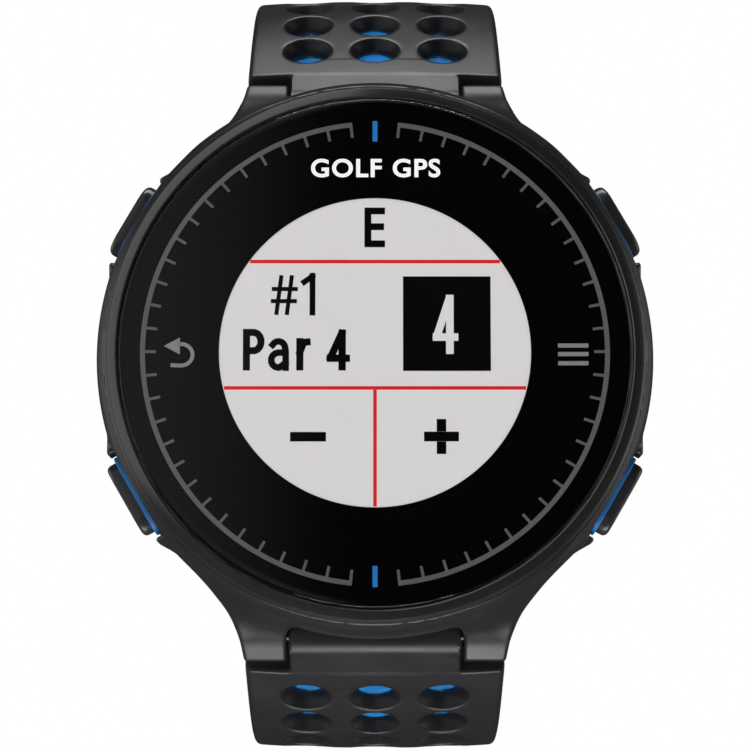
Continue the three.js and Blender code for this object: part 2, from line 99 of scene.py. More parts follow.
class Table:
    """A field of two coordinates, kept on a fine grid and read back bilinearly."""

    def __init__(self, pts, x0, x1, y0, y1, step=0.06):
        self.x0, self.y0, self.st = x0, y0, step
        self.nx, self.ny = int((x1 - x0) / step) + 2, int((y1 - y0) / step) + 2
        X, Y = np.meshgrid(x0 + step * np.arange(self.nx), y0 + step * np.arange(self.ny), indexing="ij")
        self.g = polygon(X, Y, pts)

    def __call__(self, x, y):
        u = np.clip((x - self.x0) / self.st, 0, self.nx - 1.001)
        v = np.clip((y - self.y0) / self.st, 0, self.ny - 1.001)
        i, j = u.astype(int), v.astype(int)
        u, v, g = u - i, v - j, self.g
        return (g[i, j] * (1 - u) + g[i + 1, j] * u) * (1 - v) + (g[i, j + 1] * (1 - u) + g[i + 1, j + 1] * u) * v


def rounded(pts, default=0.0, n=5):
    """Corner points (x, y, radius) with each corner turned into an arc."""
    out, m = [], len(pts)
    for i in range(m):
        p, a, b = (np.array(q[:2], float) for q in (pts[i], pts[i - 1], pts[(i + 1) % m]))
        rad = pts[i][2] if len(pts[i]) > 2 else default
        u, v = a - p, b - p
        lu, lv = np.hypot(*u), np.hypot(*v)
        u, v = u / lu, v / lv
        ang = math.acos(max(-1, min(1, float(u @ v))))
        if rad <= 0 or ang > 3.12:
            out.append(p)
            continue
        t = min(rad / math.tan(ang / 2), 0.49 * lu, 0.49 * lv)
        rr = t * math.tan(ang / 2)
        c = p + (u + v) / np.hypot(*(u + v)) * rr / math.sin(ang / 2)
        q0, q1 = p + u * t - c, p + v * t - c
        a0 = math.atan2(q0[1], q0[0])
        da = (math.atan2(q1[1], q1[0]) - a0 + math.pi) % (2 * math.pi) - math.pi
        out += [c + rr * np.array([math.cos(a0 + da * k / n), math.sin(a0 + da * k / n)]) for k in range(n + 1)]
    return np.array(out)


def nets(f, lo, hi, h, rounds=5, relax=2):
    """Closed quad surface of f = 0 on a grid of step h, with its vertices brought onto the surface."""
    lo = np.array(lo, float)
    n = np.ceil((np.array(hi, float) - lo) / h).astype(int) + 1
    ax = [lo[i] + h * np.arange(n[i]) for i in range(3)]
    C = 4
    cx = [lo[i] + h * C * np.arange((n[i] - 1) // C + 2) for i in range(3)]
    G = np.meshgrid(*cx, indexing="ij")
    F = f(*[g.ravel() for g in G]).reshape(G[0].shape)[np.ix_(*[(np.arange(n[i]) + C // 2) // C for i in range(3)])]
    near = np.abs(F) < 6.2 * h
    I = np.nonzero(near)
    F[near] = f(ax[0][I[0]], ax[1][I[1]], ax[2][I[2]])
    ins, strides = F < 0, np.array([n[1] * n[2], n[2], 1])
    ids_all, pts_all = [], []
    for a in range(3):
        b, c = (a + 1) % 3, (a + 2) % 3
        s0, s1 = [slice(None)] * 3, [slice(None)] * 3
        s0[a], s1[a] = slice(0, -1), slice(1, None)
        P = np.stack(np.nonzero(ins[tuple(s0)] != ins[tuple(s1)]), 1)
        P = P[(P[:, b] > 0) & (P[:, c] > 0) & (P[:, b] < n[b] - 1) & (P[:, c] < n[c] - 1)]
        Q = P.copy()
        Q[:, a] += 1
        f0, f1 = F[tuple(P.T)], F[tuple(Q.T)]
        pt = lo + h * P.astype(float)
        pt[:, a] += h * f0 / (f0 - f1)
        ids = []
        for db, dc in ((-1, -1), (0, -1), (0, 0), (-1, 0)):
            cell = P.copy()
            cell[:, b] += db
            cell[:, c] += dc
            ids.append(cell @ strides)
        ids = np.stack(ids, 1)
        flip = ~(f0 < 0)
        ids[flip] = ids[flip][:, ::-1]
        ids_all.append(ids)
        pts_all.append(np.repeat(pt, 4, 0))
    ids, pts = np.concatenate(ids_all), np.concatenate(pts_all)
    _, inv = np.unique(ids.ravel(), return_inverse=True)
    inv = inv.ravel()
    cnt = np.bincount(inv)
    V = np.stack([np.bincount(inv, pts[:, k]) / cnt for k in range(3)], 1)
    quads = inv.reshape(-1, 4)
    e = 0.04 * h

    def grad(V):
        return np.stack([(f(*(V + e * np.eye(3)[k]).T) - f(*(V - e * np.eye(3)[k]).T)) / (2 * e) for k in range(3)], 1)

    for r in range(rounds):
        if 0 < r <= relax:
            mid = V[quads].mean(1)
            avg = np.stack([np.bincount(quads.ravel(), np.repeat(mid[:, k], 4)) for k in range(3)], 1)
            avg /= np.bincount(quads.ravel())[:, None]
            g = grad(V)
            g /= np.maximum(np.linalg.norm(g, axis=1), 1e-6)[:, None]
            d = avg - V
            V = V + 0.5 * (d - (d * g).sum(1)[:, None] * g)
        v, g = f(*V.T), grad(V)
        step = -(v / np.maximum((g * g).sum(1), 0.1))[:, None] * g
        ln = np.linalg.norm(step, axis=1)
        V = V + step * np.minimum(1, 0.5 * h / np.maximum(ln, 1e-9))[:, None]
    return V, quads


# ------------------------------------------------------------------ meshes
def mesh(name, verts, faces, material, body=None, sharp=48, placed=False):
    me = bpy.data.meshes.new(name)
    v = verts if placed else row(verts)
    me.from_pydata(v.tolist(), [], faces.tolist() if isinstance(faces, np.ndarray) else faces)
    me.validate()
    me.update()
    for p in me.polygons:
        p.use_smooth = True
    me.set_sharp_from_angle(angle=math.radians(sharp))
    me.materials.append(material)
    o = bpy.data.objects.new(name, me)
    bpy.context.scene.collection.objects.link(o)
    if body:
        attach(o, body)
    return o


def lathe(profile, seg):
    """Turned about z. The profile of (r, z) closes on itself, or starts and ends on the axis."""
    P = np.asarray(profile, float)
    x, y = P[:, 0], P[:, 1]
    if (x * np.roll(y, -1) - np.roll(x, -1) * y).sum() < 0:
        P = P[::-1]
    open_ = P[0, 0] < 1e-9 or P[-1, 0] < 1e-9
    if not open_ and (P[:, 0] < 1e-9).any():
        k = int(np.argmin(P[:, 0]))
        P = np.roll(P, -k, 0)
        if P[-1, 0] > 1e-9:
            P = np.roll(P, -1, 0) if P[1, 0] < 1e-9 else P
    if P[0, 0] < 1e-9 and P[-1, 0] > 1e-9 and P[1, 0] < 1e-9:
        P = np.roll(P, -1, 0)
    axis = P[:, 0] < 1e-9
    verts, index = [], []
    t = np.arange(seg) * 2 * math.pi / seg
    for (r, z), on in zip(P, axis):
        if on:
            index.append([len(verts)] * seg)
            verts.append([0, 0, z])
        else:
            index.append(list(range(len(verts), len(verts) + seg)))
            verts += np.stack([r * np.cos(t), r * np.sin(t), np.full(seg, z)], 1).tolist()
    faces = []
    m = len(P)
    for j in range(m):
        k = (j + 1) % m
        if axis[j] and axis[k]:
            continue
        A, B = index[j], index[k]
        for i in range(seg):
            q = (i + 1) % seg
            if axis[j]:
                faces.append([A[i], B[q], B[i]])
            elif axis[k]:
                faces.append([A[i], A[q], B[i]])
            else:
                faces.append([A[i], A[q], B[q], B[i]])
    return np.array(verts), faces


def along_x(verts):
    """A body turned about z, laid along x."""
    return np.stack([verts[:, 2], verts[:, 0], verts[:, 1]], 1)


def shifted(verts, x=0, y=0, z=0):
    return verts + np.array([x, y, z], float)


def spun(verts, deg):
    c, s = math.cos(math.radians(deg)), math.sin(math.radians(deg))
    return np.stack([verts[:, 0] * c - verts[:, 1] * s, verts[:, 0] * s + verts[:, 1] * c, verts[:, 2]], 1)


class Solids:
    """Several thin closed solids gathered in one mesh."""

    def __init__(self):
        self.v, self.f = [], []

    def prism(self, pts, z0, z1):
        pts = [tuple(map(float, p)) for p in pts]
        if sum(a[0] * b[1] - b[0] * a[1] for a, b in zip(pts, pts[1:] + pts[:1])) < 0:
            pts = pts[::-1]
        k, n = len(self.v), len(pts)
        self.v += [(x, y, z0) for x, y in pts] + [(x, y, z1) for x, y in pts]
        self.f += [[k + i for i in reversed(range(n))], [k + n + i for i in range(n)]]
        self.f += [[k + i, k + (i + 1) % n, k + n + (i + 1) % n, k + n + i] for i in range(n)]

    def rect(self, x0, x1, y0, y1, z0, z1):
        self.prism([(x0, y0), (x1, y0), (x1, y1), (x0, y1)], z0, z1)

    def sector(self, r0, r1, a0, a1, z0, z1, n=60):
        t = np.radians(np.linspace(a0, a1, n + 1))
        k = len(self.v)
        for z in (z0, z1):
            for r in (r0, r1):
                self.v += [(r * math.cos(q), r * math.sin(q), z) for q in t]
        m = n + 1
        a, b, c, d = k, k + m, k + 2 * m, k + 3 * m
        for i in range(n):
            self.f += [[a + i, a + i + 1, b + i + 1, b + i], [c + i, d + i, d + i + 1, c + i + 1],
                       [b + i, b + i + 1, d + i + 1, d + i], [a + i, c + i, c + i + 1, a + i + 1]]
        self.f += [[a, b, d, c], [a + n, c + n, d + n, b + n]]

    def ribbon(self, pts, w, z0, z1):
        """A stroke of even width with mitred bends."""
        P = np.array(pts, float)
        d = np.diff(P, axis=0)
        d /= np.linalg.norm(d, axis=1)[:, None]
        k, n = len(self.v), len(P)
        for i in range(n):
            a, b = d[max(i - 1, 0)], d[min(i, n - 2)]
            m = np.array([-(a[1] + b[1]), a[0] + b[0]])
            m /= max(np.hypot(*m), 1e-6)
            q = w / 2 / max(0.45, float(m @ np.array([-a[1], a[0]])))
            for z in (z0, z1):
                self.v += [(*(P[i] + m * q), z), (*(P[i] - m * q), z)]
        for i in range(n - 1):
            a, b = k + 4 * i, k + 4 * i + 4
            self.f += [[a + 3, b + 3, b + 2, a + 2], [a, b, b + 1, a + 1], [b, a, a + 2, b + 2], [a + 1, b + 1, b + 3, a + 3]]
        a = k + 4 * (n - 1)
        self.f += [[k, k + 1, k + 3, k + 2], [a + 1, a, a + 2, a + 3]]

    def glyph(self, strokes, w, x0, x1, y0, y1, z0, z1):
        """Strokes in a unit box, whose outer edges fill the given box."""
        for j, st in enumerate(strokes):
            pts = [(x0 + w / 2 + u * (x1 - x0 - w), y0 + w / 2 + v * (y1 - y0 - w)) for u, v in st]
            ends = []
            for (ux, uy), (vx, vy) in ((pts[0], pts[1]), (pts[-1], pts[-2])):
                n = math.hypot(ux - vx, uy - vy)
                ends.append((ux + (ux - vx) / n * w / 2, uy + (uy - vy) / n * w / 2))
            pts[0], pts[-1] = ends
            self.ribbon(pts, w, z0 + 0.0004 * j, z1 + 0.0004 * j)

    def word(self, text, x0, x1, y0, y1, z0, z1, weight=0.0, space=1.0):
        cu = bpy.data.curves.new("glyphs", "FONT")
        cu.body, cu.size, cu.extrude, cu.offset = text, 1.0, 0.5, weight
        cu.resolution_u, cu.space_character = 5, space
        ob = bpy.data.objects.new("glyphs", cu)
        bpy.context.scene.collection.objects.link(ob)
        me = bpy.data.meshes.new_from_object(ob.evaluated_get(bpy.context.evaluated_depsgraph_get()))
        bm = bmesh.new()
        bm.from_mesh(me)
        bmesh.ops.remove_doubles(bm, verts=bm.verts, dist=1e-5)
        bmesh.ops.dissolve_degenerate(bm, edges=bm.edges, dist=1e-5)
        bmesh.ops.recalc_face_normals(bm, faces=bm.faces)
        bm.verts.index_update()
        co = np.array([v.co[:] for v in bm.verts])
        lo, hi = co.min(0), co.max(0)
        co = (co - lo) / (hi - lo) * np.array([x1 - x0, y1 - y0, z1 - z0]) + np.array([x0, y0, z0])
        k = len(self.v)
        self.v += [tuple(c) for c in co.tolist()]
        self.f += [[k + v.index for v in face.verts] for face in bm.faces]
        bm.free()
        bpy.data.objects.remove(ob)
        bpy.data.curves.remove(cu)
        bpy.data.meshes.remove(me)


# ------------------------------------------------------------------ materials
def lin(c):
    return tuple((v / 255 / 12.92) if v <= 10 else ((v / 255 + 0.055) / 1.055) ** 2.4 for v in c)


def finish(name, color, rough, metal=0.0, spread=0.14, grain=2600, bump=0.25, depth=1.2e-5, swing=0.06,
           glow=0.0, spec=0.5, coat=0.0, coat_rough=0.2, sheen=0.0, stretch=(1, 1, 1)):
    """A surface with a fine mottled colour, uneven gloss and a little grain."""
    m = bpy.data.materials.new(name)
    m.use_nodes = True
    t = m.node_tree
    t.nodes.clear()
    new = t.nodes.new
    out, sh = new("ShaderNodeOutputMaterial"), new("ShaderNodeBsdfPrincipled")
    t.links.new(sh.outputs[0], out.inputs[0])
    co, mp = new("ShaderNodeTexCoord"), new("ShaderNodeMapping")
    mp.inputs["Scale"].default_value = stretch
    t.links.new(co.outputs["Object"], mp.inputs["Vector"])
    fine, broad = new("ShaderNodeTexNoise"), new("ShaderNodeTexNoise")
    fine.inputs["Scale"].default_value, fine.inputs["Detail"].default_value = grain, 3
    broad.inputs["Scale"].default_value, broad.inputs["Detail"].default_value = 140, 4
    for nz in (fine, broad):
        t.links.new(mp.outputs[0], nz.inputs["Vector"])
    mixed = new("ShaderNodeMath")
    mixed.operation = "MULTIPLY_ADD"
    mixed.inputs[1].default_value = 0.5
    half = new("ShaderNodeMath")
    half.operation = "MULTIPLY"
    half.inputs[1].default_value = 0.5
    t.links.new(broad.outputs["Fac"], half.inputs[0])
    t.links.new(fine.outputs["Fac"], mixed.inputs[0])
    t.links.new(half.outputs[0], mixed.inputs[2])
    ramp = new("ShaderNodeValToRGB")
    ramp.color_ramp.elements[0].position, ramp.color_ramp.elements[1].position = 0.32, 0.68
    c = lin(color)
    ramp.color_ramp.elements[0].color = (*[v * (1 - spread) for v in c], 1)
    ramp.color_ramp.elements[1].color = (*[min(1, v * (1 + spread)) for v in c], 1)
    t.links.new(mixed.outputs[0], ramp.inputs[0])
    t.links.new(ramp.outputs[0], sh.inputs["Base Color"])
    rr = new("ShaderNodeMapRange")
    rr.inputs["From Min"].default_value, rr.inputs["From Max"].default_value = 0.3, 0.7
    rr.inputs["To Min"].default_value, rr.inputs["To Max"].default_value = max(0.02, rough - swing), min(1, rough + swing)
    t.links.new(broad.outputs["Fac"], rr.inputs["Value"])
    t.links.new(rr.outputs[0], sh.inputs["Roughness"])
    if bump > 0:
        bp = new("ShaderNodeBump")
        bp.inputs["Strength"].default_value, bp.inputs["Distance"].default_value = bump, depth
        t.links.new(fine.outputs["Fac"], bp.inputs["Height"])
        t.links.new(bp.outputs[0], sh.inputs["Normal"])
    sh.inputs["Metallic"].default_value = metal
    sh.inputs["Specular IOR Level"].default_value = spec
    sh.inputs["Coat Weight"].default_value = coat
    sh.inputs["Coat Roughness"].default_value = coat_rough
    sh.inputs["Sheen Weight"].default_value = sheen
    # glow: emission in the surface's own colour; on the prints, the screen and the blue rubber it is painted light, on
    # the floor an even pale backdrop
    if glow > 0:
        t.links.new(ramp.outputs[0], sh.inputs["Emission Color"])
        sh.inputs["Emission Strength"].default_value = glow
    m.diffuse_color = (*c, 1)
    return m


def clear_glass(name):
    """Thin clear front: seen straight through, with a mirror gloss on top."""
    m = bpy.data.materials.new(name)
    m.use_nodes = True
    t = m.node_tree
    t.nodes.clear()
    new = t.nodes.new
    out, mix = new("ShaderNodeOutputMaterial"), new("ShaderNodeMixShader")
    tr, gl, fr = new("ShaderNodeBsdfTransparent"), new("ShaderNodeBsdfGlossy"), new("ShaderNodeFresnel")
    co, nz, rr = new("ShaderNodeTexCoord"), new("ShaderNodeTexNoise"), new("ShaderNodeMapRange")
    fr.inputs["IOR"].default_value = 1.46
    ge, fl, mu = new("ShaderNodeNewGeometry"), new("ShaderNodeMath"), new("ShaderNodeMath")
    fl.operation, mu.operation = "SUBTRACT", "MULTIPLY"
    fl.inputs[0].default_value = 1.0
    t.links.new(ge.outputs["Backfacing"], fl.inputs[1])
    t.links.new(fr.outputs[0], mu.inputs[0])
    t.links.new(fl.outputs[0], mu.inputs[1])
    nz.inputs["Scale"].default_value, nz.inputs["Detail"].default_value = 60, 2
    rr.inputs["To Min"].default_value, rr.inputs["To Max"].default_value = 0.02, 0.06
    t.links.new(co.outputs["Object"], nz.inputs["Vector"])
    t.links.new(nz.outputs["Fac"], rr.inputs["Value"])
    t.links.new(rr.outputs[0], gl.inputs["Roughness"])
    t.links.new(mu.outputs[0], mix.inputs[0])
    t.links.new(tr.outputs[0], mix.inputs[1])
    t.links.new(gl.outputs[0], mix.inputs[2])
    t.links.new(mix.outputs[0], out.inputs[0])
    m.diffuse_color = (0.02, 0.02, 0.02, 1)
    return m


M = {
    "case": finish("satin_case_polymer", (40, 40, 42), 0.32, spread=0.10, grain=5200, bump=0.35, depth=8e-6, spec=0.5),
    "back": finish("back_polymer", (44, 44, 47), 0.5, spread=0.10, grain=5200, bump=0.4, depth=1e-5),
    "bezel": finish("dark_bezel", (116, 116, 118), 0.17, metal=0.9, spread=0.05, grain=4200, bump=0.05, depth=3e-6, swing=0.02),
    "glass": clear_glass("front_glass"),
    "mask": finish("mask_print", (4, 4, 5), 0.5, spread=0.05, grain=900, bump=0.0, swing=0.02, spec=0.05),
    # painted glow on the prints under the glass: ring, index, title and icon emit light in their own colour so they
    # read bright beneath it
    "tick": finish("tick_print_painted_glow", (118, 119, 121), 0.6, spread=0.05, grain=3000, bump=0.03, glow=0.05, spec=0.1),
    "mark_blue": finish("blue_print_painted_glow", (34, 110, 175), 0.55, spread=0.06, grain=3000, bump=0.03, glow=0.62, spec=0.1),
    "white": finish("white_print_painted_glow", (243, 244, 246), 0.6, spread=0.02, grain=3000, bump=0.02, glow=0.58, spec=0.1),
    "icon": finish("icon_print_painted_glow", (146, 147, 149), 0.6, spread=0.04, grain=3000, bump=0.03, glow=0.22, spec=0.1),
    # painted glow: the screen face, and the score mark drawn in it, emit light in their own colour, keeping them evenly
    # pale under the glass
    "screen": finish("screen_face_painted_glow", (209, 206, 207), 0.6, spread=0.012, grain=1800, bump=0.01, glow=0.57, spec=0.05),
    "ink": finish("screen_ink", (13, 12, 13), 0.6, spread=0.2, grain=3000, bump=0.02, spec=0.05),
    # painted glow on the screen's red rules as well
    "red": finish("screen_red_painted_glow", (214, 38, 36), 0.6, spread=0.04, grain=3000, bump=0.02, glow=0.45, spec=0.05),
    "seal": finish("seal_rubber", (38, 38, 40), 0.8, spread=0.15),
    "guide": finish("light_guide", (225, 225, 220), 0.35, spread=0.03),
    "inner": finish("inner_polymer", (35, 35, 37), 0.6, spread=0.12),
    "board": finish("circuit_board", (28, 88, 52), 0.5, spread=0.35, grain=700),
    "shield": finish("shield_steel", (176, 178, 180), 0.3, metal=1.0, spread=0.05, stretch=(1, 1, 12)),
    "ceramic": finish("antenna_ceramic", (205, 198, 180), 0.6, spread=0.07),
    "cell": finish("battery_wrap", (150, 154, 160), 0.4, metal=0.4, spread=0.06),
    "dark_steel": finish("dark_steel", (86, 87, 90), 0.30, metal=0.95, spread=0.10, grain=3600, bump=0.15, depth=5e-6, stretch=(0.2, 1, 1)),
    "steel": finish("bar_steel", (170, 171, 174), 0.25, metal=1.0, spread=0.06, stretch=(0.15, 1, 1)),
    "gold": finish("gold_contact", (214, 172, 96), 0.25, metal=1.0, spread=0.08, grain=4000, bump=0.1),
    "button": finish("button_cap", (52, 52, 54), 0.25, spread=0.10, grain=5200, bump=0.3, depth=8e-6),
    # painted glow, faint: the blue trim ring emits a little light in its own colour
    "blue": finish("blue_polymer", (34, 114, 186), 0.45, spread=0.08, grain=3600, bump=0.2, depth=6e-6, glow=0.04),
    "strap": finish("strap_rubber", (38, 38, 40), 0.34, spread=0.12, grain=6500, bump=0.45, depth=1e-5, swing=0.05, spec=0.45),
    # painted glow: the blue core emits light in its own colour, lifting it where it lies down in the strap's holes
    "liner": finish("liner_rubber", (52, 152, 220), 0.6, spread=0.08, grain=5200, bump=0.4, depth=1e-5, spec=0.4, glow=0.26),
}

# ------------------------------------------------------------------ case with lugs
outer_t = Table(rounded([(0, 1.0), (20.1, 1.0, 1.2), (21.8, 2.2, 2.2), (22.95, 4.8, 5), (22.95, 10.2, 5), (22.72, 12.1, 3),
                         (21.9, 13.9, 0.16), (0, 13.9)]), 0, 27, -1.2, 16)
cavity_t = Table(rounded([(0, -3), (18.5, -3), (18.5, 1.8, 0.05), (15.4, 1.8, 0.05), (15.4, 2.7, 0.05), (18.9, 2.7, 0.1),
                          (18.9, 11.35, 0.05), (21.8, 11.35, 0.05), (21.8, 17), (0, 17)]), 0, 27, -1.2, 16)
plan_t = Table(rounded([(15.5, 15.0), (14.3, 17.2, 8), (13.05, 19.5, 8), (11.95, 21.2, 7), (11.3, 22.9, 7), (10.95, 24.87, 0.2),
                        (7.4, 24.87, 0.35), (7.4, 20.4, 0.2), (7.4, 15.5)]), 0, 25, 10, 26)
side_t = Table(rounded([(12, 1.0), (20.6, 0.5, 3), (22.25, 0.14, 1.5), (23.0, 0.27, 1.5), (23.8, 0.78, 1.5), (24.35, 1.55, 1.5), (24.87, 2.7, 0.7),
                        (23.45, 4.1, 6), (22.2, 6.0, 6), (21.2, 8.4, 8), (20.5, 11.2, 6), (20.2, 12.7, 0.4), (12, 12.7)]), 8, 27, -1.2, 16)
# the lugs' front face falls away from the rim in the round
fall_t = Table(rounded([(8, -3.5), (29, -3.5), (29, 2.6), (27.0, 4.1, 2), (25.6, 5.1, 8), (24.2, 6.5, 8), (23.0, 8.7, 10), (22.3, 11.2, 8),
                        (22.0, 12.9, 0.5), (8, 12.9)]), 7, 29, -4.5, 16)
guard_t = Table([(3.9, 21.0), (3.9, 23.0), (4.2, 23.08), (5.5, 22.3), (5.5, 21.0)], 0, 12, 17, 27)
PIN_Y, PIN_Z = 22.25, 2.28
BUTTON_Z = 8.4


def case_field(x, y, z):
    x, y = np.abs(x), np.abs(y)
    r = np.hypot(x, y)
    f = outer_t(r, z)
    lug = smax(plan_t(x, y), smax(side_t(y, z), fall_t(r, z), 0.5), 0.3)
    f = smin(f, lug, 1.2)
    c, s = math.cos(math.radians(30)), math.sin(math.radians(30))
    u, v, w = x * c + y * s, -x * s + y * c, z - BUTTON_Z
    flat = smax(smax(22.45 - u, np.abs(v) - 4.6, 0.3), 5.4 - z, 0.8)
    f = smax(f, -flat, 0.2)
    f = smin(f, smax(guard_t(np.abs(v), u), np.abs(w) - 1.6, 0.6), 0.15)
    f = smax(f, -np.maximum(rrect(v, w, 3.74, 2.22, 2.05), 21.2 - u), 0.1)
    f = smax(f, -np.maximum(np.hypot(v, w) - 0.95, 17.5 - u), 0.08)
    f = smax(f, -cavity_t(r, z), 0.06)
    f = smax(f, z - 13.45, 0.06)
    pin = np.hypot(y - PIN_Y, z - PIN_Z)
    slot = np.minimum(pin - 2.62, np.maximum(PIN_Y - 1.2 - y, z - PIN_Z))
    f = smax(f, -np.maximum(slot, x - 7.4), 0.1)
    f = smax(f, -np.maximum(pin - 0.95, x - 13), 0.06)
    f = smax(f, -np.maximum(pin - 1.45, 10.2 - x), 0.1)
    f = smax(f, -np.maximum(np.hypot(x - 12.092, y - 12.092) - 0.62, z - 3.2), 0.06)
    return f


V, Q = nets(case_field, (-24.6, -25.8, -0.7), (24.6, 25.8, 14.7), 0.25)
case = mesh("case_with_lugs", V, Q, M["case"], "case", sharp=60)
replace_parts(case, "mid_case")
# its thin upper edge, turned on its own so that it stays crisp
v, f = lathe(rounded([(21.8, 12.5), (22.2, 12.5), (22.441, 12.733), (21.835, 13.875, 0.02), (21.795, 13.9, 0.005)], n=4), 256)
mesh("case_upper_edge", v, f, M["case"], "case", sharp=60)

# ------------------------------------------------------------------ bezel and front glass
v, f = lathe(rounded([(19.5, 11.45, 0.1), (21.79, 11.45, 0.1), (21.79, 13.905, 0.01), (21.115, 14.2, 0.01), (21.02, 14.138, 0.01),
                      (21.02, 13.18, 0.02), (19.5, 13.18, 0.05)], n=4), 256)
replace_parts(mesh("bezel_band", v, f, M["bezel"], "case", sharp=50), "bezel_ring")
v, f = lathe([(0, 13.54), (20.4, 13.54), (20.8, 13.54), (20.8, 14.24), (20.77, 14.31), (20.70, 14.37), (20.62, 14.4), (20.2, 14.4), (0, 14.4)], 256)
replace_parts(mesh("front_glass", v, f, M["glass"], "case", sharp=60), "front_lens")
v, f = lathe([(12.69, 13.49), (20.72, 13.49), (20.72, 13.515), (12.69, 13.515)], 192)
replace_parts(mesh("dial_mask", v, f, M["mask"], "case"), "lens_mask")
v, f = lathe(rounded([(0, 11.7), (14.1, 11.7, 0.1), (14.1, 12.8, 0.1), (12.9, 12.84), (19.3, 12.86), (19.3, 13.14), (12.62, 13.16),
                      (12.62, 13.48), (0, 13.48)], n=3), 128)
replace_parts(mesh("screen_stack", v, f, M["screen"], "case", sharp=40), "display_module", "touch_sensor")

# ------------------------------------------------------------------ printed ring and marks under the glass
Z0, Z1 = 13.517, 13.533
d = Solids()
for side in (1, -1):
    mid = 0 if side > 0 else 180
    d.sector(18.70, 19.10, mid - 84.35, mid + 84.35, Z0, Z1, 150)
    for k in range(-14, 15):
        a = math.radians(mid + 6 * k)
        ux, uy = math.cos(a), math.sin(a)
        w = 0.115
        d.prism([(17.82 * ux - w * uy, 17.82 * uy + w * ux), (17.82 * ux + w * uy, 17.82 * uy - w * ux),
                 (18.71 * ux + w * uy, 18.71 * uy - w * ux), (18.71 * ux - w * uy, 18.71 * uy + w * ux)], Z0 + 0.001, Z1 - 0.001)
mesh("minute_ring_print", np.array(d.v), d.f, M["tick"], "case")
d = Solids()
d.rect(-0.2, 0.2, 17.42, 19.12, Z0, Z1)
d.rect(-0.2, 0.2, -19.12, -17.42, Z0, Z1)
mesh("blue_index_print", np.array(d.v), d.f, M["mark_blue"], "case")
d = Solids()
d.word("GOLF GPS", -5.25, 5.35, 14.42, 15.98, Z0, Z1, weight=0.024, space=1.10)
mesh("dial_title_print", np.array(d.v), d.f, M["white"], "case")
d = Solids()
for y in (0.50, -0.20, -0.95):
    d.rect(14.88, 17.35, y - 0.17, y + 0.17, Z0, Z1)
# return arrow: a head, then a stroke that hooks back underneath
d.prism([(-17.16, 0.47), (-15.86, 1.16), (-15.86, -0.23)], Z0, Z1)
hook = [(-16.0, 0.62), (-15.55, 0.62)]
hook += [(-15.75 + 0.92 * math.cos(q), -0.26 + 0.88 * math.sin(q)) for q in np.radians(np.linspace(78, -88, 16))]
hook += [(-16.1, -1.13), (-16.6, -1.10)]
lo_, hi_ = [], []
for i, (x, y) in enumerate(hook):
    a, b = hook[max(i - 1, 0)], hook[min(i + 1, len(hook) - 1)]
    tx, ty = b[0] - a[0], b[1] - a[1]
    n_ = math.hypot(tx, ty)
    lo_.append((x - ty / n_ * 0.155, y + tx / n_ * 0.155))
    hi_.append((x + ty / n_ * 0.155, y - tx / n_ * 0.155))
for i in range(len(hook) - 1):
    d.prism([lo_[i], lo_[i + 1], hi_[i + 1], hi_[i]], Z0 + 0.0005 * (i % 2), Z1 - 0.0005 * (i % 2))
mesh("touch_icon_print", np.array(d.v), d.f, M["icon"], "case")

# screen content, all generic scoring marks
S0, S1 = 13.483, 13.495
d = Solids()


def arc(cx, cy, rx, ry, a0, a1, n=8):
    return [(cx + rx * math.cos(q), cy + ry * math.sin(q)) for q in np.radians(np.linspace(a0, a1, n))]


LETTER_P = [[(0, 0), (0, 1), (0.5, 1)] + arc(0.5, 0.735, 0.5, 0.265, 80, -80) + [(0.5, 0.47), (0.1, 0.47)]]
LETTER_A = [arc(0.5, 0.74, 0.46, 0.26, 150, 20, 7) + [(1, 0.62), (1, 0)], [(0.95, 0.57), (0.5, 0.57)] + arc(0.5, 0.285, 0.5, 0.285, 95, 265) + [(0.55, 0), (0.96, 0.17)]]
LETTER_R = [[(0, 0), (0, 1)], [(0.02, 0.60)] + arc(0.75, 0.45, 0.62, 0.53, 145, 92, 5) + [(0.95, 0.985)]]
FOUR = [[(0.74, 0), (0.74, 0.985)], [(0.70, 0.97), (0.03, 0.28)], [(0, 0.25), (1, 0.25)]]
ONE = [[(1, 0), (1, 1)], [(0.96, 0.985), (0.45, 0.90), (0.02, 0.83)]]
HASH = [[(0.16, 0), (0.36, 1)], [(0.62, 0), (0.82, 1)], [(0, 0.33), (0.96, 0.33)], [(0.04, 0.67), (1, 0.67)]]
LETTER_E = [[(1, 1), (0, 1), (0, 0), (1, 0)], [(0.1, 0.52), (0.93, 0.52)]]
d.glyph(LETTER_E, 0.56, -0.86, 0.82, 8.62, 11.91, S0, S1)
d.glyph(HASH, 0.34, -8.49, -6.29, 3.02, 6.30, S0, S1)
d.glyph(ONE, 0.47, -6.02, -4.86, 2.98, 6.49, S0, S1)
d.glyph(LETTER_P, 0.58, -10.74, -8.98, -1.54, 1.87, S0, S1)
d.glyph(LETTER_A, 0.54, -8.71, -6.99, -1.58, 1.12, S0, S1)
d.glyph(LETTER_R, 0.58, -6.40, -5.20, -1.54, 1.12, S0, S1)
d.glyph(FOUR, 0.60, -3.94, -2.03, -1.54, 1.87, S0, S1)
d.rect(2.28, 9.42, -1.58, 6.20, S0, S1 - 0.003)
d.rect(-6.88, -3.97, -7.34, -6.57, S0, S1)
d.rect(3.97, 6.80, -7.33, -6.54, S0, S1)
d.rect(5.00, 5.77, -8.36, -7.34, S0, S1)
d.rect(5.00, 5.77, -6.53, -5.51, S0, S1)
mesh("screen_black_marks", np.array(d.v), d.f, M["ink"], "case")
d = Solids()
d.glyph(FOUR, 0.62, 4.70, 6.78, -0.19, 4.75, S1 - 0.002, S1 + 0.006)
mesh("screen_score_mark", np.array(d.v), d.f, M["screen"], "case")
d = Solids()
for y in (7.43, -2.97):
    x = math.sqrt(12.66 ** 2 - y * y) - 0.05
    d.rect(-x, x, y - 0.143, y + 0.143, S0, S1)
d.rect(-0.143, 0.143, -12.62, -3.12, S0, S1)
mesh("screen_red_rules", np.array(d.v), d.f, M["red"], "case")

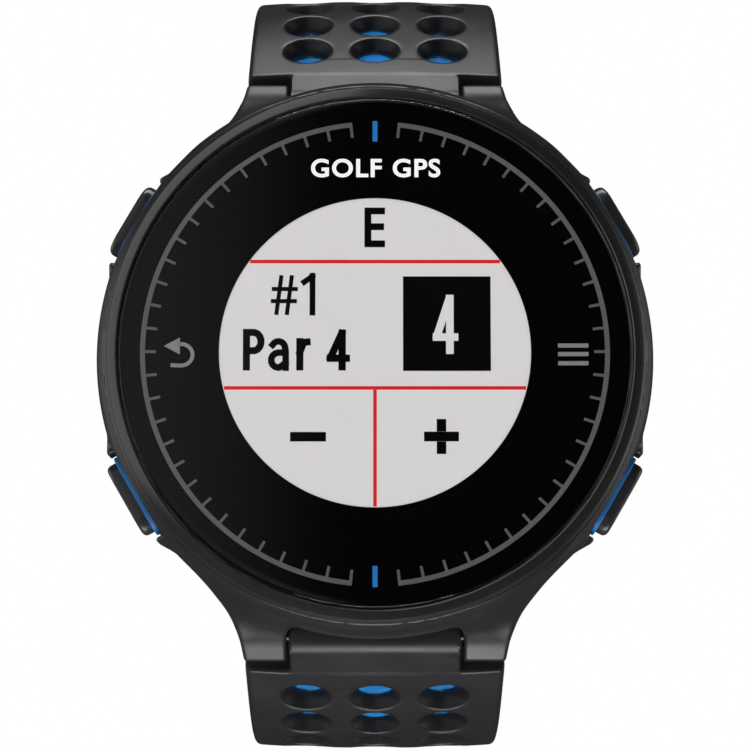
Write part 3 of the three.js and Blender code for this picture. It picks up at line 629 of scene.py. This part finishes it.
# ------------------------------------------------------------------ back: cover, screws, charging contacts
def cover_field(x, y, z):
    ax, ay = np.abs(x), np.abs(y)
    r = np.hypot(x, y)
    f = smax(np.maximum(r - 18.4, (r - 17.95 - z) * 0.707), np.maximum(-z, z - 1.4), 0.25)
    f = smax(f, -np.maximum(np.abs(r - 14.6) - 0.22, z - 0.16), 0.08)
    f = smax(f, -np.maximum(rrect(x, y + 10.5, 5.0, 1.5, 1.4), z - 0.18), 0.1)
    h = np.hypot(ax - 12.092, ay - 12.092)
    f = smax(f, -np.maximum(h - 1.02, z - 0.82), 0.08)
    f = smax(f, -(h - 0.62), 0.05)
    g = np.minimum(np.hypot(ax - 1.1, y + 10.5), np.hypot(ax - 3.3, y + 10.5))
    return smax(f, -(g - 0.75), 0.05)


V, Q = nets(cover_field, (-19.2, -19.2, -0.8), (19.2, 19.2, 2.2), 0.24)
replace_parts(mesh("back_cover_plate", V, Q, M["back"], "case", sharp=55), "back_cover")


def screw_field(x, y, z):
    r = np.hypot(x, y)
    f = smax(r - 0.9, np.maximum(0.08 - z, z - 0.74), 0.12)
    f = np.minimum(f, smax(r - 0.5, np.maximum(0.5 - z, z - 2.5), 0.08))
    hexa = np.maximum(np.abs(x), np.abs(x) * 0.5 + np.abs(y) * 0.866) - 0.42
    return smax(f, -np.maximum(hexa, z - 0.46), 0.04)


V, Q = nets(screw_field, (-1.25, -1.25, -0.25), (1.25, 1.25, 2.8), 0.08)
for i, deg in enumerate((45, 135, 225, 315)):
    a = math.radians(deg)
    o = mesh(f"back_screw_socket_{i + 1}", shifted(V, 17.1 * math.cos(a), 17.1 * math.sin(a)), Q, M["dark_steel"], "case")
    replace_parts(o, f"back_screw_{i + 1}")
v, f = lathe(rounded([(0, 0.05), (0.65, 0.05, 0.14), (0.65, 1.85, 0.05), (0, 1.85)], n=4), 32)
for i, x in enumerate((-3.3, -1.1, 1.1, 3.3)):
    o = mesh(f"charge_pad_{i + 1}", shifted(v, x, -10.5), f, M["gold"], "case")
    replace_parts(o, f"charge_contact_{i + 1}")


# ------------------------------------------------------------------ buttons, drawn with u outward, v round the case, w along the height
def cap_field(u, v, w):
    pad = smax(rrect(v, w, 3.27, 1.66, 1.56), np.maximum(u - 23.8, 22.1 - u), 0.55)
    stem = np.maximum(np.hypot(v, w) - 0.8, np.maximum(18.4 - u, u - 22.4))
    return smin(pad, stem, 0.1)


def trim_field(u, v, w):
    f = smax(rrect(v, w, 3.64, 2.12, 1.98), np.maximum(u - 22.84, 21.32 - u), 0.12)
    f = smax(f, -np.maximum(rrect(v, w, 3.33, 1.74, 1.62), 21.6 - u), 0.06)
    return smax(f, -(np.hypot(v, w) - 1.25), 0.06)


capV, capQ = nets(cap_field, (18.0, -3.8, -2.2), (24.2, 3.8, 2.2), 0.13)
trimV, trimQ = nets(trim_field, (20.8, -4.4, -2.8), (23.6, 4.4, 2.8), 0.13)
for place, deg in (("upper_right", 30), ("upper_left", 150), ("lower_left", 210), ("lower_right", 330)):
    o = mesh(f"button_{place}_cap", spun(shifted(capV, z=BUTTON_Z), deg), capQ, M["button"], f"button_{place}")
    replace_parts(o, f"button_cap_{place}")
    o = mesh(f"button_{place}_blue_ring", spun(shifted(trimV, z=BUTTON_Z), deg), trimQ, M["blue"], "case")
    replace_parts(o, f"button_trim_{place}")

# ------------------------------------------------------------------ strap
STRAP_S = [-4, 2.6, 7.3, 12.2, 17.1, 22.2, 26, 30, 34, 38, 45, 80, 115]
UPPER = dict(A=[36.83, 36.83, 35.27, 31.67, 19.17, 6.72, -1.5, -8.5, -14.5, -18, -18, -18, -18], swing=8.25, sign=1)
LOWER = dict(A=[36.83, 36.83, 35.27, 31.67, 19.17, 6.72, -1.5, -7.5, -11, -12.8, -15, -28, -42], swing=-6.85, sign=-1)


def middle(A):
    s = np.arange(0, 1241) * 0.1 - 4
    a = np.radians(np.interp(s, STRAP_S, A))
    y = np.concatenate([[0], np.cumsum((np.sin(a[1:]) + np.sin(a[:-1])) / 2 * 0.1)])
    z = -np.concatenate([[0], np.cumsum((np.cos(a[1:]) + np.cos(a[:-1])) / 2 * 0.1)])
    return s, a, y - y[40], z - z[40]


def stand(x, yy, zz, half):
    r = math.radians(half["swing"])
    Y, Z = yy * math.cos(r) - zz * math.sin(r) + PIN_Y, yy * math.sin(r) + zz * math.cos(r) + PIN_Z
    return np.stack([x * half["sign"], Y * half["sign"], Z], 1)


def bent(V, half):
    """(across, along, outward) to the watch frame along the strap's curve."""
    s, a, y, z = middle(half["A"])
    aa = np.interp(V[:, 1], s, a)
    return stand(V[:, 0], np.interp(V[:, 1], s, y) + V[:, 2] * np.cos(aa), np.interp(V[:, 1], s, z) + V[:, 2] * np.sin(aa), half)


def straight(V, half, at):
    """The same, on the straight line through the strap's middle at one place."""
    s, a, y, z = middle(half["A"])
    aa, y0, z0 = (float(np.interp(at, s, q)) for q in (a, y, z))
    return stand(V[:, 0], y0 + V[:, 1] * math.sin(aa) + V[:, 2] * math.cos(aa), z0 - V[:, 1] * math.cos(aa) + V[:, 2] * math.sin(aa), half)


def spot(half, s):
    return Vector(row(bent(np.array([[0.0, s, 0.0]]), half))[0])


def strap_fields(upper):
    def width(s):
        return np.interp(s, [2.6, 10, 22, 50, 90, 120], [11.0, 10.92, 10.75, 10.2, 9.55, 9.3])

    def top(ax, s, w):
        if upper:
            t = np.interp(s, [0, 2.6, 7, 17, 30, 45, 62, 66], [2.2, 2.2, 2.1, 1.8, 1.5, 1.3, 1.25, 1.45])
        else:
            t = np.interp(s, [0, 2.6, 7, 17, 30, 45, 120], [2.2, 2.2, 2.1, 1.8, 1.5, 1.3, 1.2])
        return t - 0.32 * (ax / w) ** 2.6

    def inner(s):
        if upper:
            return np.interp(s, [0, 2.6, 7, 17, 30, 45, 63, 67], [-1.9, -1.9, -1.8, -1.5, -1.35, -1.25, -1.25, -1.45])
        return np.interp(s, [0, 2.6, 7, 17, 30, 45, 120], [-1.9, -1.9, -1.8, -1.5, -1.35, -1.25, -1.1])

    rows = 8 if upper else 20

    def hole(x, s, d, straight_wall=None):
        k = np.clip(np.round((s - 7.29) / 4.91), 0, rows - 1)
        cx = 5.93 * np.clip(np.round(x / 5.93), -1, 1)
        if not upper:
            cx = np.where(k >= rows - 1, 0, cx)
        rho = np.hypot(x - cx, s - 7.29 - 4.91 * k)
        if straight_wall:
            return rho - straight_wall
        return (rho - np.interp(d, [-0.3, 0.0, 0.25, 0.55, 0.9, 1.3, 2.0], [2.25, 2.13, 2.03, 1.86, 1.68, 1.54, 1.47])) * 0.88

    def edge(x, s, w, grow=0.0):
        w = w - grow
        if upper:
            return np.abs(x) - w
        q = np.maximum(s - 102.8, 0) / (9.2 - grow)
        return (np.sqrt((x / w) ** 2 + q * q) - 1) * w

    def core(x, s, n):
        ax, w = np.abs(x), width(s)
        t, b = top(ax, s, w), inner(s)
        plate = np.maximum(edge(x, s, w), np.maximum(n - b - 0.75, b - n))
        plate = np.maximum(plate, 3.36 - s)
        body = np.maximum(smax(edge(x, s, w, 1.4), n - (t - 1.40 - 0.28 * (x / 5.93) ** 2), 0.3), np.maximum(b + 0.2 - n, 4.6 - s))
        if upper:
            plate, body = np.maximum(plate, s - 57.5), np.maximum(body, s - 55.5)
        return np.minimum(plate, body), t

    def blue(x, s, n):
        f, t = core(x, s, n)
        f = smax(f, inner(s) + 0.02 - n, 0.2)
        return smax(f, -hole(x, s, t - n, 1.47), 0.06)

    def black(x, s, n):
        ax, w = np.abs(x), width(s)
        t, b = top(ax, s, w), inner(s)
        f = smax(smax(edge(x, s, w), n - t, 0.55), b - n, 0.3)
        f = smax(f, 3.02 - s, 0.25)
        knuckle = np.minimum(np.hypot(s, n) - 2.16, np.maximum(np.maximum(-s, s - 5.5), np.maximum(n - np.minimum(2.16, t), -1.9 - n)))
        f = smin(f, smax(knuckle, ax - 7.2, 0.12), 0.12)
        if upper:
            f = smax(f, np.where(s > 70.2, np.hypot(s - 70.2, n) - 1.5, -9.0), 0.2)
            f = smax(f, -np.maximum(ax - 1.75, 66 - s), 0.25)
            f = smax(f, -(np.hypot(s - 70, n) - 0.9), 0.08)
        f = smax(f, -hole(x, s, t - n), 0.12)
        f = smax(f, -(core(x, s, n)[0] - 0.04), 0.05)
        return smax(f, -(np.hypot(s, n) - 0.95), 0.08)

    return black, blue


for name, half, upper, length, h in (("upper", UPPER, True, 71.75, 0.23), ("lower", LOWER, False, 112, 0.25)):
    black, blue = strap_fields(upper)
    V, Q = nets(black, (-11.6, -2.9, -2.9), (11.6, length + 0.8, 3.1), h)
    o = mesh(f"{name}_strap_band", row(bent(V, half)), Q, M["strap"], sharp=60, placed=True)
    V, Q = nets(blue, (-11.6, 2.4, -2.7), (11.6, length + 0.6, 1.7), h)
    p = mesh(f"{name}_strap_blue_core", row(bent(V, half)), Q, M["liner"], sharp=60, placed=True)
    if upper:
        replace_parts(o, "upper_strap_root", "upper_strap_end")
        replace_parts(p, "upper_liner_root", "upper_liner_end")
        ends = ("upper_strap", "upper_end", spot(half, 26), spot(half, 44))
    else:
        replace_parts(o, "lower_strap_root", "lower_strap_tail")
        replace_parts(p, "lower_liner_root", "lower_liner_tail")
        ends = ("lower_strap", "lower_tail", spot(half, 41), spot(half, 59))
    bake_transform(o)
    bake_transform(p)


# ------------------------------------------------------------------ lug pins and their screws
def pin_field(x, a, b):
    r = np.hypot(a, b)
    f = np.maximum(r - 0.85, np.maximum(-10.7 - x, x - 10.1))
    f = np.minimum(f, smax(r - 1.35, np.maximum(-10.92 - x, x + 10.3), 0.2))
    return smax(f, -np.maximum(r - 0.55, 7.4 - x), 0.06)


def pin_screw_field(x, a, b):
    r = np.hypot(a, b)
    f = smax(r - 1.35, np.maximum(10.3 - x, x - 10.92), 0.2)
    f = np.minimum(f, np.maximum(r - 0.45, np.maximum(7.8 - x, x - 10.6)))
    return smax(f, -np.maximum(np.abs(a) - 0.2, 10.62 - x), 0.04)


pinV, pinQ = nets(pin_field, (-11.4, -1.8, -1.8), (10.6, 1.8, 1.8), 0.14)
scrV, scrQ = nets(pin_screw_field, (7.4, -1.7, -1.7), (11.3, 1.7, 1.7), 0.10)
for name, sy in (("upper", 1), ("lower", -1)):
    o = mesh(f"{name}_lug_pin_bar", shifted(pinV, y=sy * PIN_Y, z=PIN_Z), pinQ, M["dark_steel"], "case")
    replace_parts(o, f"{name}_lug_pin")
    o = mesh(f"{name}_lug_pin_screw", shifted(scrV, y=sy * PIN_Y, z=PIN_Z), scrQ, M["dark_steel"], "case")
    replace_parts(o, f"{name}_pin_screw")


# ------------------------------------------------------------------ buckle, its bar, the tongue and the keepers: (across, towards the tip, outward)
def buckle_field(x, s, n):
    ax = np.abs(x)
    arm = smax(smax(np.abs(ax - 11.225) - 0.875, np.abs(n) - 1.1, 0.6), np.maximum(-s, s - 12.8), 0.1)
    ear = smax(np.hypot(s, n) - 1.9, np.abs(ax - 11.225) - 0.875, 0.4)
    tip = smax(smax(np.abs(s - 11.75) - 1.47, np.abs(n) - 1.12, 1.1), ax - 12.1, 0.9)
    f = smin(smin(arm, ear, 0.5), tip, 0.5)
    f = smax(f, -np.maximum(np.hypot(s, n) - 0.83, ax - 11.7), 0.06)
    return smax(f, -smax(np.abs(x) - 1.42, 0.72 - n, 0.1), 0.25)


tongue_t = Table([(0.1, 0), (1.5, 0.2), (1.6, 5.0), (2.0, 11.6), (1.7, 13.3), (0.95, 13.3), (0.85, 9.8), (0.5, 5.0)], -3, 4, -3, 16, 0.04)


def tongue_field(x, s, n):
    ax = np.abs(x)
    f = smax(tongue_t(n, s), ax - 1.15, 0.35)
    f = smin(f, smax(np.hypot(s, n) - 1.55, ax - 1.4, 0.25), 0.35)
    return smax(f, -(np.hypot(s, n) - 0.85), 0.06)


def keeper_field(wide, floor):
    def f(x, s, n):
        o = smax(rrect(x, n - 1.25, 11.75, 4.15, 1.9), np.abs(s) - wide / 2, 0.55)
        i = rrect(x, n - (4.15 + floor) / 2, 10.5, (4.15 - floor) / 2, 0.7)
        return smax(o, -i, 0.3)
    return f


V, Q = nets(buckle_field, (-12.8, -2.6, -2.5), (12.8, 14.0, 2.5), 0.19)
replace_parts(mesh("buckle_loop", straight(V, UPPER, 70), Q, M["dark_steel"], "buckle"), "buckle_frame")
v, f = lathe(rounded([(0, -11.6), (0.75, -11.6, 0.12), (0.75, 11.6, 0.12), (0, 11.6)], n=3), 32)
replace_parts(mesh("buckle_pin_bar", straight(along_x(v), UPPER, 70), f, M["steel"], "buckle"), "buckle_bar")
V, Q = nets(tongue_field, (-1.9, -2.2, -2.2), (1.9, 14.0, 2.6), 0.12)
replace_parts(mesh("buckle_tongue_pin", straight(V, UPPER, 70), Q, M["dark_steel"], "tongue"), "buckle_tongue")
for nm, at, wide, floor, body in (("fixed", 62.0, 4.6, -1.62, "upper_end"), ("free", 50.0, 5.2, -1.7, "free_keeper")):
    V, Q = nets(keeper_field(wide, floor), (-12.4, -3.4, -3.6), (12.4, 3.4, 6.1), 0.22)
    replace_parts(mesh(f"keeper_loop_{nm}", straight(V, UPPER, at), Q, M["strap"], body), f"keeper_{nm}")

# ------------------------------------------------------------------ carried-over inner parts
KEPT = {"back_gasket": "seal", "backlight_guide": "guide", "battery": "cell", "display_holder": "inner", "gps_antenna": "ceramic",
        "lens_gasket": "seal", "main_board": "board", "processor_shield": "shield", "vibration_motor": "shield"}
for place in ("upper_right", "upper_left", "lower_left", "lower_right"):
    KEPT[f"button_seal_{place}"], KEPT[f"button_switch_{place}"] = "seal", "inner"
for n, key in KEPT.items():
    NODES[n].data.materials.clear()
    NODES[n].data.materials.append(M[key])

# ------------------------------------------------------------------ floor, light and camera
scene = bpy.context.scene
floor_z = cad_lo.z - 0.022  # low enough to clear the strap when it swings down
me = bpy.data.meshes.new("floor")
me.from_pydata([(-3, -3, floor_z), (3, -3, floor_z), (3, 3, floor_z), (-3, 3, floor_z)], [], [(0, 1, 2, 3)])
floor = bpy.data.objects.new("floor", me)
scene.collection.objects.link(floor)
me.materials.append(finish("pale_floor", (226, 226, 226), 0.8, spread=0.015, grain=300, bump=0.0, spec=0.1, glow=0.42))
# the floor stays pale far away from the lights too
t = me.materials[0].node_tree
far, reach = t.nodes.new("ShaderNodeVectorMath"), t.nodes.new("ShaderNodeMapRange")
far.operation = "LENGTH"
reach.inputs["From Min"].default_value, reach.inputs["From Max"].default_value = 0.10, 1.3
reach.inputs["To Min"].default_value, reach.inputs["To Max"].default_value = 0.42, 1.12
t.links.new(next(n for n in t.nodes if n.type == "TEX_COORD").outputs["Object"], far.inputs[0])
t.links.new(far.outputs["Value"], reach.inputs["Value"])
t.links.new(reach.outputs[0], next(n for n in t.nodes if n.type == "BSDF_PRINCIPLED").inputs["Emission Strength"])
floor.visible_glossy = False
floor.visible_shadow = False


def soft_box(name, place, aim, wide, high, radiance, tint=(1, 1, 1)):
    l = bpy.data.lights.new(name, "AREA")
    l.shape, l.size, l.size_y = "RECTANGLE", wide, high
    l.energy, l.color = radiance * math.pi * wide * high, tint
    o = bpy.data.objects.new(name, l)
    o.location = place
    o.rotation_mode = "QUATERNION"
    o.rotation_quaternion = (Vector(aim) - Vector(place)).to_track_quat("-Z", "Y")
    o.visible_camera = False
    scene.collection.objects.link(o)
    return o


soft_box("soft_top", (0, 0.0, 0.50), (0, 0, 0), 0.36, 0.22, 6.0)
soft_box("soft_bottom", (0, -0.030, -0.460), (0, 0, 0), 0.34, 0.20, 5.0)
soft_box("soft_left", (-0.47, 0.17, 0.01), (0, 0, 0), 0.18, 0.38, 0.9)
soft_box("soft_right", (0.47, 0.17, 0.01), (0, 0, 0), 0.18, 0.38, 0.9)

# the studio around it: white where the camera looks straight at it, dim grey walls for everything else
world = bpy.data.worlds.new("studio")
scene.world = world
world.use_nodes = True
t = world.node_tree
t.nodes.clear()
new = t.nodes.new
out, mix, lp = new("ShaderNodeOutputWorld"), new("ShaderNodeMixShader"), new("ShaderNodeLightPath")
pale, dim = new("ShaderNodeBackground"), new("ShaderNodeBackground")
pale.inputs["Color"].default_value = (1, 1, 1, 1)
co, sep = new("ShaderNodeTexCoord"), new("ShaderNodeSeparateXYZ")
t.links.new(co.outputs["Generated"], sep.inputs[0])


def step(axis, a, b, lo, hi):
    m = new("ShaderNodeMapRange")
    m.interpolation_type = "SMOOTHSTEP"
    m.inputs["From Min"].default_value, m.inputs["From Max"].default_value = a, b
    m.inputs["To Min"].default_value, m.inputs["To Max"].default_value = lo, hi
    t.links.new(sep.outputs[axis], m.inputs["Value"])
    return m.outputs[0]


def both(kind, a, b):
    m = new("ShaderNodeMath")
    m.operation = kind
    t.links.new(a, m.inputs[0])
    t.links.new(b, m.inputs[1])
    return m.outputs[0]


left = both("MULTIPLY", step("X", -0.008, -0.082, 0.008, 0.48), step("Z", -0.40, -0.20, 0.10, 1.0))
left = both("MULTIPLY", left, both("MULTIPLY", step("Y", -0.75, -0.10, 1.0, 1.5), step("Y", 0.30, 0.95, 1.0, 0.03)))
high = both("MULTIPLY", step("Z", 0.25, 0.60, 0.0, 1.0), step("Y", -0.45, -0.10, 0.0, 1.0))
away = new("ShaderNodeMath")
away.operation = "SUBTRACT"
away.inputs[0].default_value = 1.0
t.links.new(high, away.inputs[1])
left = both("MULTIPLY", left, away.outputs[0])
right = both("MULTIPLY", step("X", 0.10, 0.40, 0.0, 0.60), step("Y", -0.60, -0.12, 0.0, 1.0))
right = both("MULTIPLY", right, step("Y", 0.35, 0.95, 1.0, 0.04))
right = both("MULTIPLY", right, both("MULTIPLY", step("Z", 0.25, 0.60, 1.0, 0.0), step("Z", -0.60, -0.25, 0.0, 1.0)))
walls = both("MAXIMUM", both("MAXIMUM", left, right), step("Y", -0.1, 0.5, 0.008, 0.03))
t.links.new(walls, dim.inputs["Strength"])
t.links.new(lp.outputs["Is Camera Ray"], mix.inputs[0])
t.links.new(dim.outputs[0], mix.inputs[1])
t.links.new(pale.outputs[0], mix.inputs[2])
t.links.new(mix.outputs[0], out.inputs[0])

cam = bpy.data.objects.new("camera", bpy.data.cameras.new("camera"))
scene.collection.objects.link(cam)
cam.data.sensor_width, cam.data.lens = 36.0, 137.56
cam.data.clip_start, cam.data.clip_end = 0.01, 20
cam.location = (0, -0.24417, -0.03265)
cam.rotation_euler = (math.radians(90 + 7.59), 0, 0)
scene.camera = cam
scene.view_settings.view_transform = "Standard"
